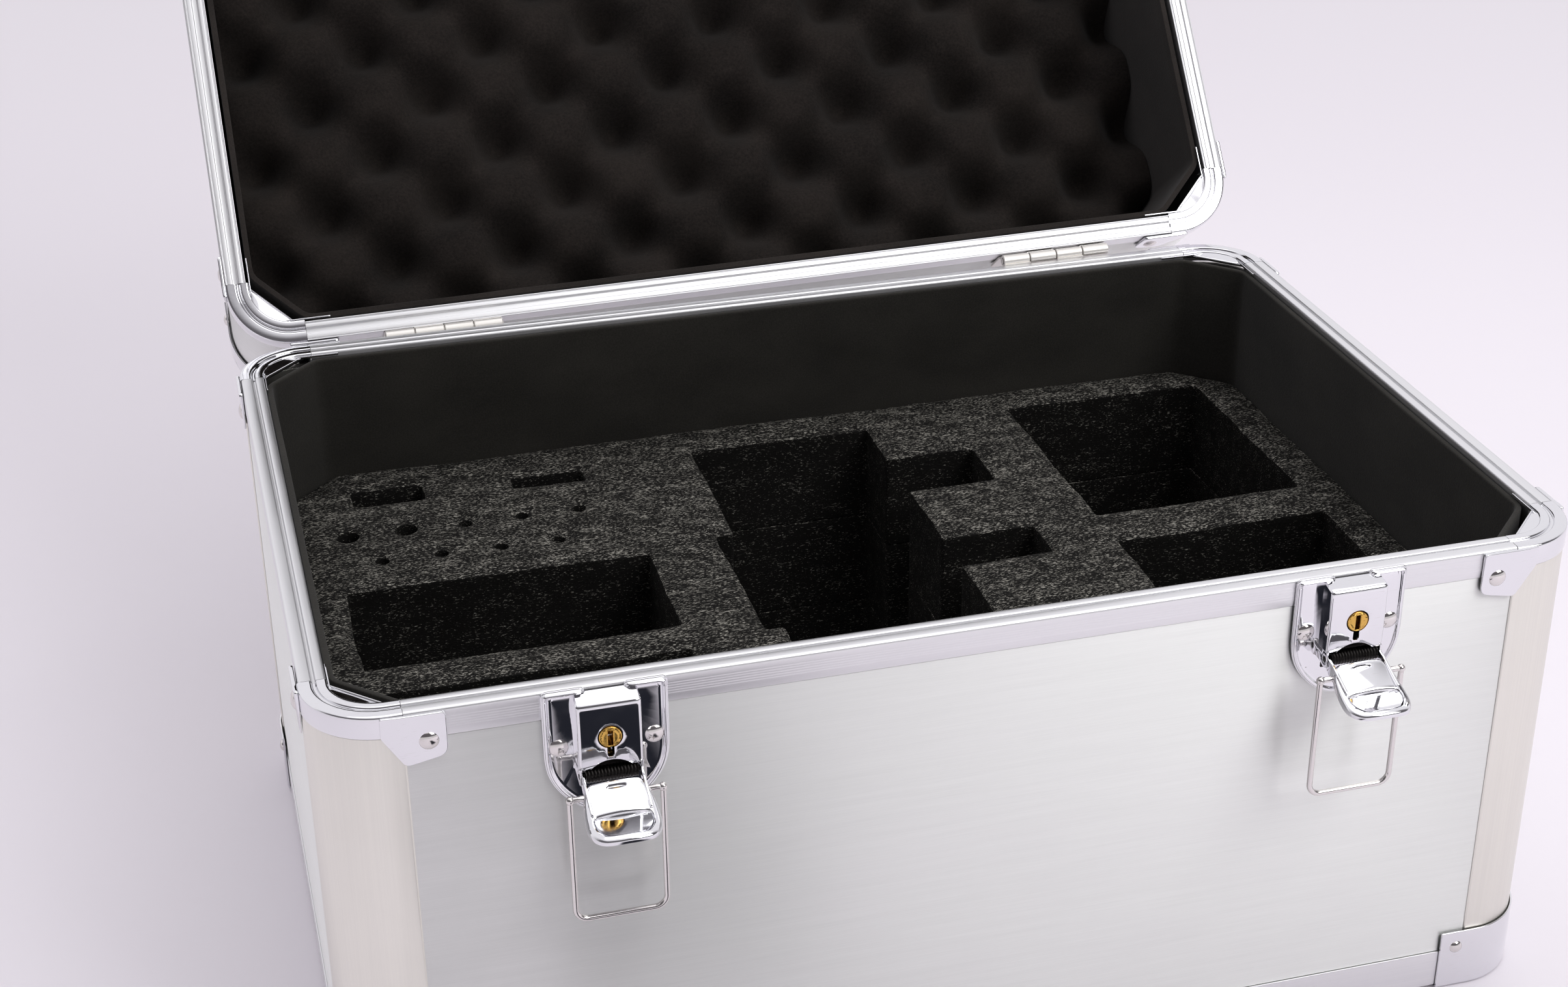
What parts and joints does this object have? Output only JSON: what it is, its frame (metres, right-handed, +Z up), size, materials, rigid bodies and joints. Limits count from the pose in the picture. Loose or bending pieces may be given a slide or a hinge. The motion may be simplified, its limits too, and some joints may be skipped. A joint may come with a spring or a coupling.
{
  "type": "microphone case",
  "caption": "Aluminium-framed microphone case with a hinged lid, draw latches, a laminated foam insert cut for microphones and egg-crate foam in the lid",
  "frame": {"origin": "middle of the underside of the whole part's box, with the lid open, on the ground", "axes": "+X to the case's right as seen from the latches, +Y from the front (latches) to the back (hinges), +Z up"},
  "size_m": [0.422, 0.5534, 0.4065],
  "materials": {
    "brushed_board": "white-silver brushed aluminium sheet on board",
    "aluminium_profile": "satin drawn aluminium",
    "chrome_fitting": "polished chrome",
    "steel": "bright steel",
    "brass": "plain brass",
    "lining_cloth": "matt black-brown felt",
    "plank_foam": "charcoal closed-cell foam, speckled cut face",
    "egg_crate_foam": "soft matt black-brown open-cell foam",
    "black_plastic": "moulded, lightly textured"
  },
  "bodies": {
    "case_base": {"base_floor_board": "brushed_board", "base_front_board": "brushed_board", "base_back_board": "brushed_board", "base_left_board": "brushed_board", "base_right_board": "brushed_board", "base_post_front_left": "aluminium_profile", "base_post_front_right": "aluminium_profile", "base_post_back_left": "aluminium_profile", "base_post_back_right": "aluminium_profile", "base_edge_frame": "aluminium_profile", "base_rim_frame": "aluminium_profile", "base_rim_corner_front_left": "chrome_fitting", "base_rim_corner_front_right": "chrome_fitting", "base_rim_corner_back_left": "chrome_fitting", "base_rim_corner_back_right": "chrome_fitting", "base_bottom_cap_front_left": "chrome_fitting", "base_bottom_cap_front_right": "chrome_fitting", "base_bottom_cap_back_left": "chrome_fitting", "base_bottom_cap_back_right": "chrome_fitting", "base_lining": "lining_cloth", "foam_layer_bottom": "plank_foam", "foam_layer_middle": "plank_foam", "foam_layer_top": "plank_foam", "hinge_base_leaf_left": "steel", "hinge_base_leaf_right": "steel", "hinge_pin_left": "steel", "hinge_pin_right": "steel", "latch_plate_left": "chrome_fitting", "latch_plate_right": "chrome_fitting", "latch_lever_pin_left": "steel", "latch_lever_pin_right": "steel"},
    "lid": {"lid_wall_band": "brushed_board", "lid_top_board": "brushed_board", "lid_edge_frame": "aluminium_profile", "lid_rim_frame": "aluminium_profile", "lid_rim_corner_front_left": "chrome_fitting", "lid_rim_corner_front_right": "chrome_fitting", "lid_rim_corner_back_left": "chrome_fitting", "lid_rim_corner_back_right": "chrome_fitting", "lid_top_cap_front_left": "chrome_fitting", "lid_top_cap_front_right": "chrome_fitting", "lid_top_cap_back_left": "chrome_fitting", "lid_top_cap_back_right": "chrome_fitting", "lid_lining": "lining_cloth", "lid_egg_crate_foam": "egg_crate_foam", "hinge_lid_leaf_left": "steel", "hinge_lid_leaf_right": "steel", "lid_keeper_left": "chrome_fitting", "lid_keeper_right": "chrome_fitting", "handle_bracket_left": "chrome_fitting", "handle_bracket_right": "chrome_fitting"},
    "handle": {"handle_frame": "steel", "handle_grip": "black_plastic"},
    "lever_left": {"latch_lever_left": "chrome_fitting"},
    "lever_right": {"latch_lever_right": "chrome_fitting"},
    "bail_left": {"latch_bail_left": "steel"},
    "bail_right": {"latch_bail_right": "steel"},
    "plug_left": {"latch_plug_left": "brass"},
    "plug_right": {"latch_plug_right": "brass"}
  },
  "joints": [
    {"name": "lid_hinge", "type": "hinge", "parent": "case_base", "child": "lid", "pos_m": [0.00036, 0.0353, 0.1766], "axis": [1, 0, 0.0099], "range_deg": [0, 127]},
    {"name": "handle_swing", "type": "hinge", "parent": "lid", "child": "handle", "pos_m": [0.00081, 0.19937, 0.23034], "axis": [0.9998, -0.0079, 0.0159], "range_deg": [-37, 143]},
    {"name": "lever_left_turn", "type": "hinge", "parent": "case_base", "child": "lever_left", "pos_m": [-0.12094, -0.25085, 0.1498], "axis": [1, 0, 0], "range_deg": [0, 80]},
    {"name": "lever_right_turn", "type": "hinge", "parent": "case_base", "child": "lever_right", "pos_m": [0.12166, -0.25085, 0.1498], "axis": [1, 0, 0], "range_deg": [0, 80]},
    {"name": "bail_left_swing", "type": "hinge", "parent": "lever_left", "child": "bail_left", "pos_m": [-0.12094, -0.25785, 0.14661], "axis": [1, 0, 0], "range_deg": [-261, 1]},
    {"name": "bail_right_swing", "type": "hinge", "parent": "lever_right", "child": "bail_right", "pos_m": [0.12166, -0.25785, 0.14661], "axis": [1, 0, 0], "range_deg": [-261, 1]},
    {"name": "plug_left_turn", "type": "hinge", "parent": "case_base", "child": "plug_left", "pos_m": [-0.12094, -0.23635, 0.163], "axis": [0, 1, 0], "range_deg": [0, 90]},
    {"name": "plug_right_turn", "type": "hinge", "parent": "case_base", "child": "plug_right", "pos_m": [0.12166, -0.23635, 0.163], "axis": [0, 1, 0], "range_deg": [0, 90]}
  ],
  "couplings": [
    {"joint": "bail_left_swing", "follows": "lever_left_turn", "ratio": -3.25},
    {"joint": "bail_right_swing", "follows": "lever_right_turn", "ratio": -3.25}
  ]
}
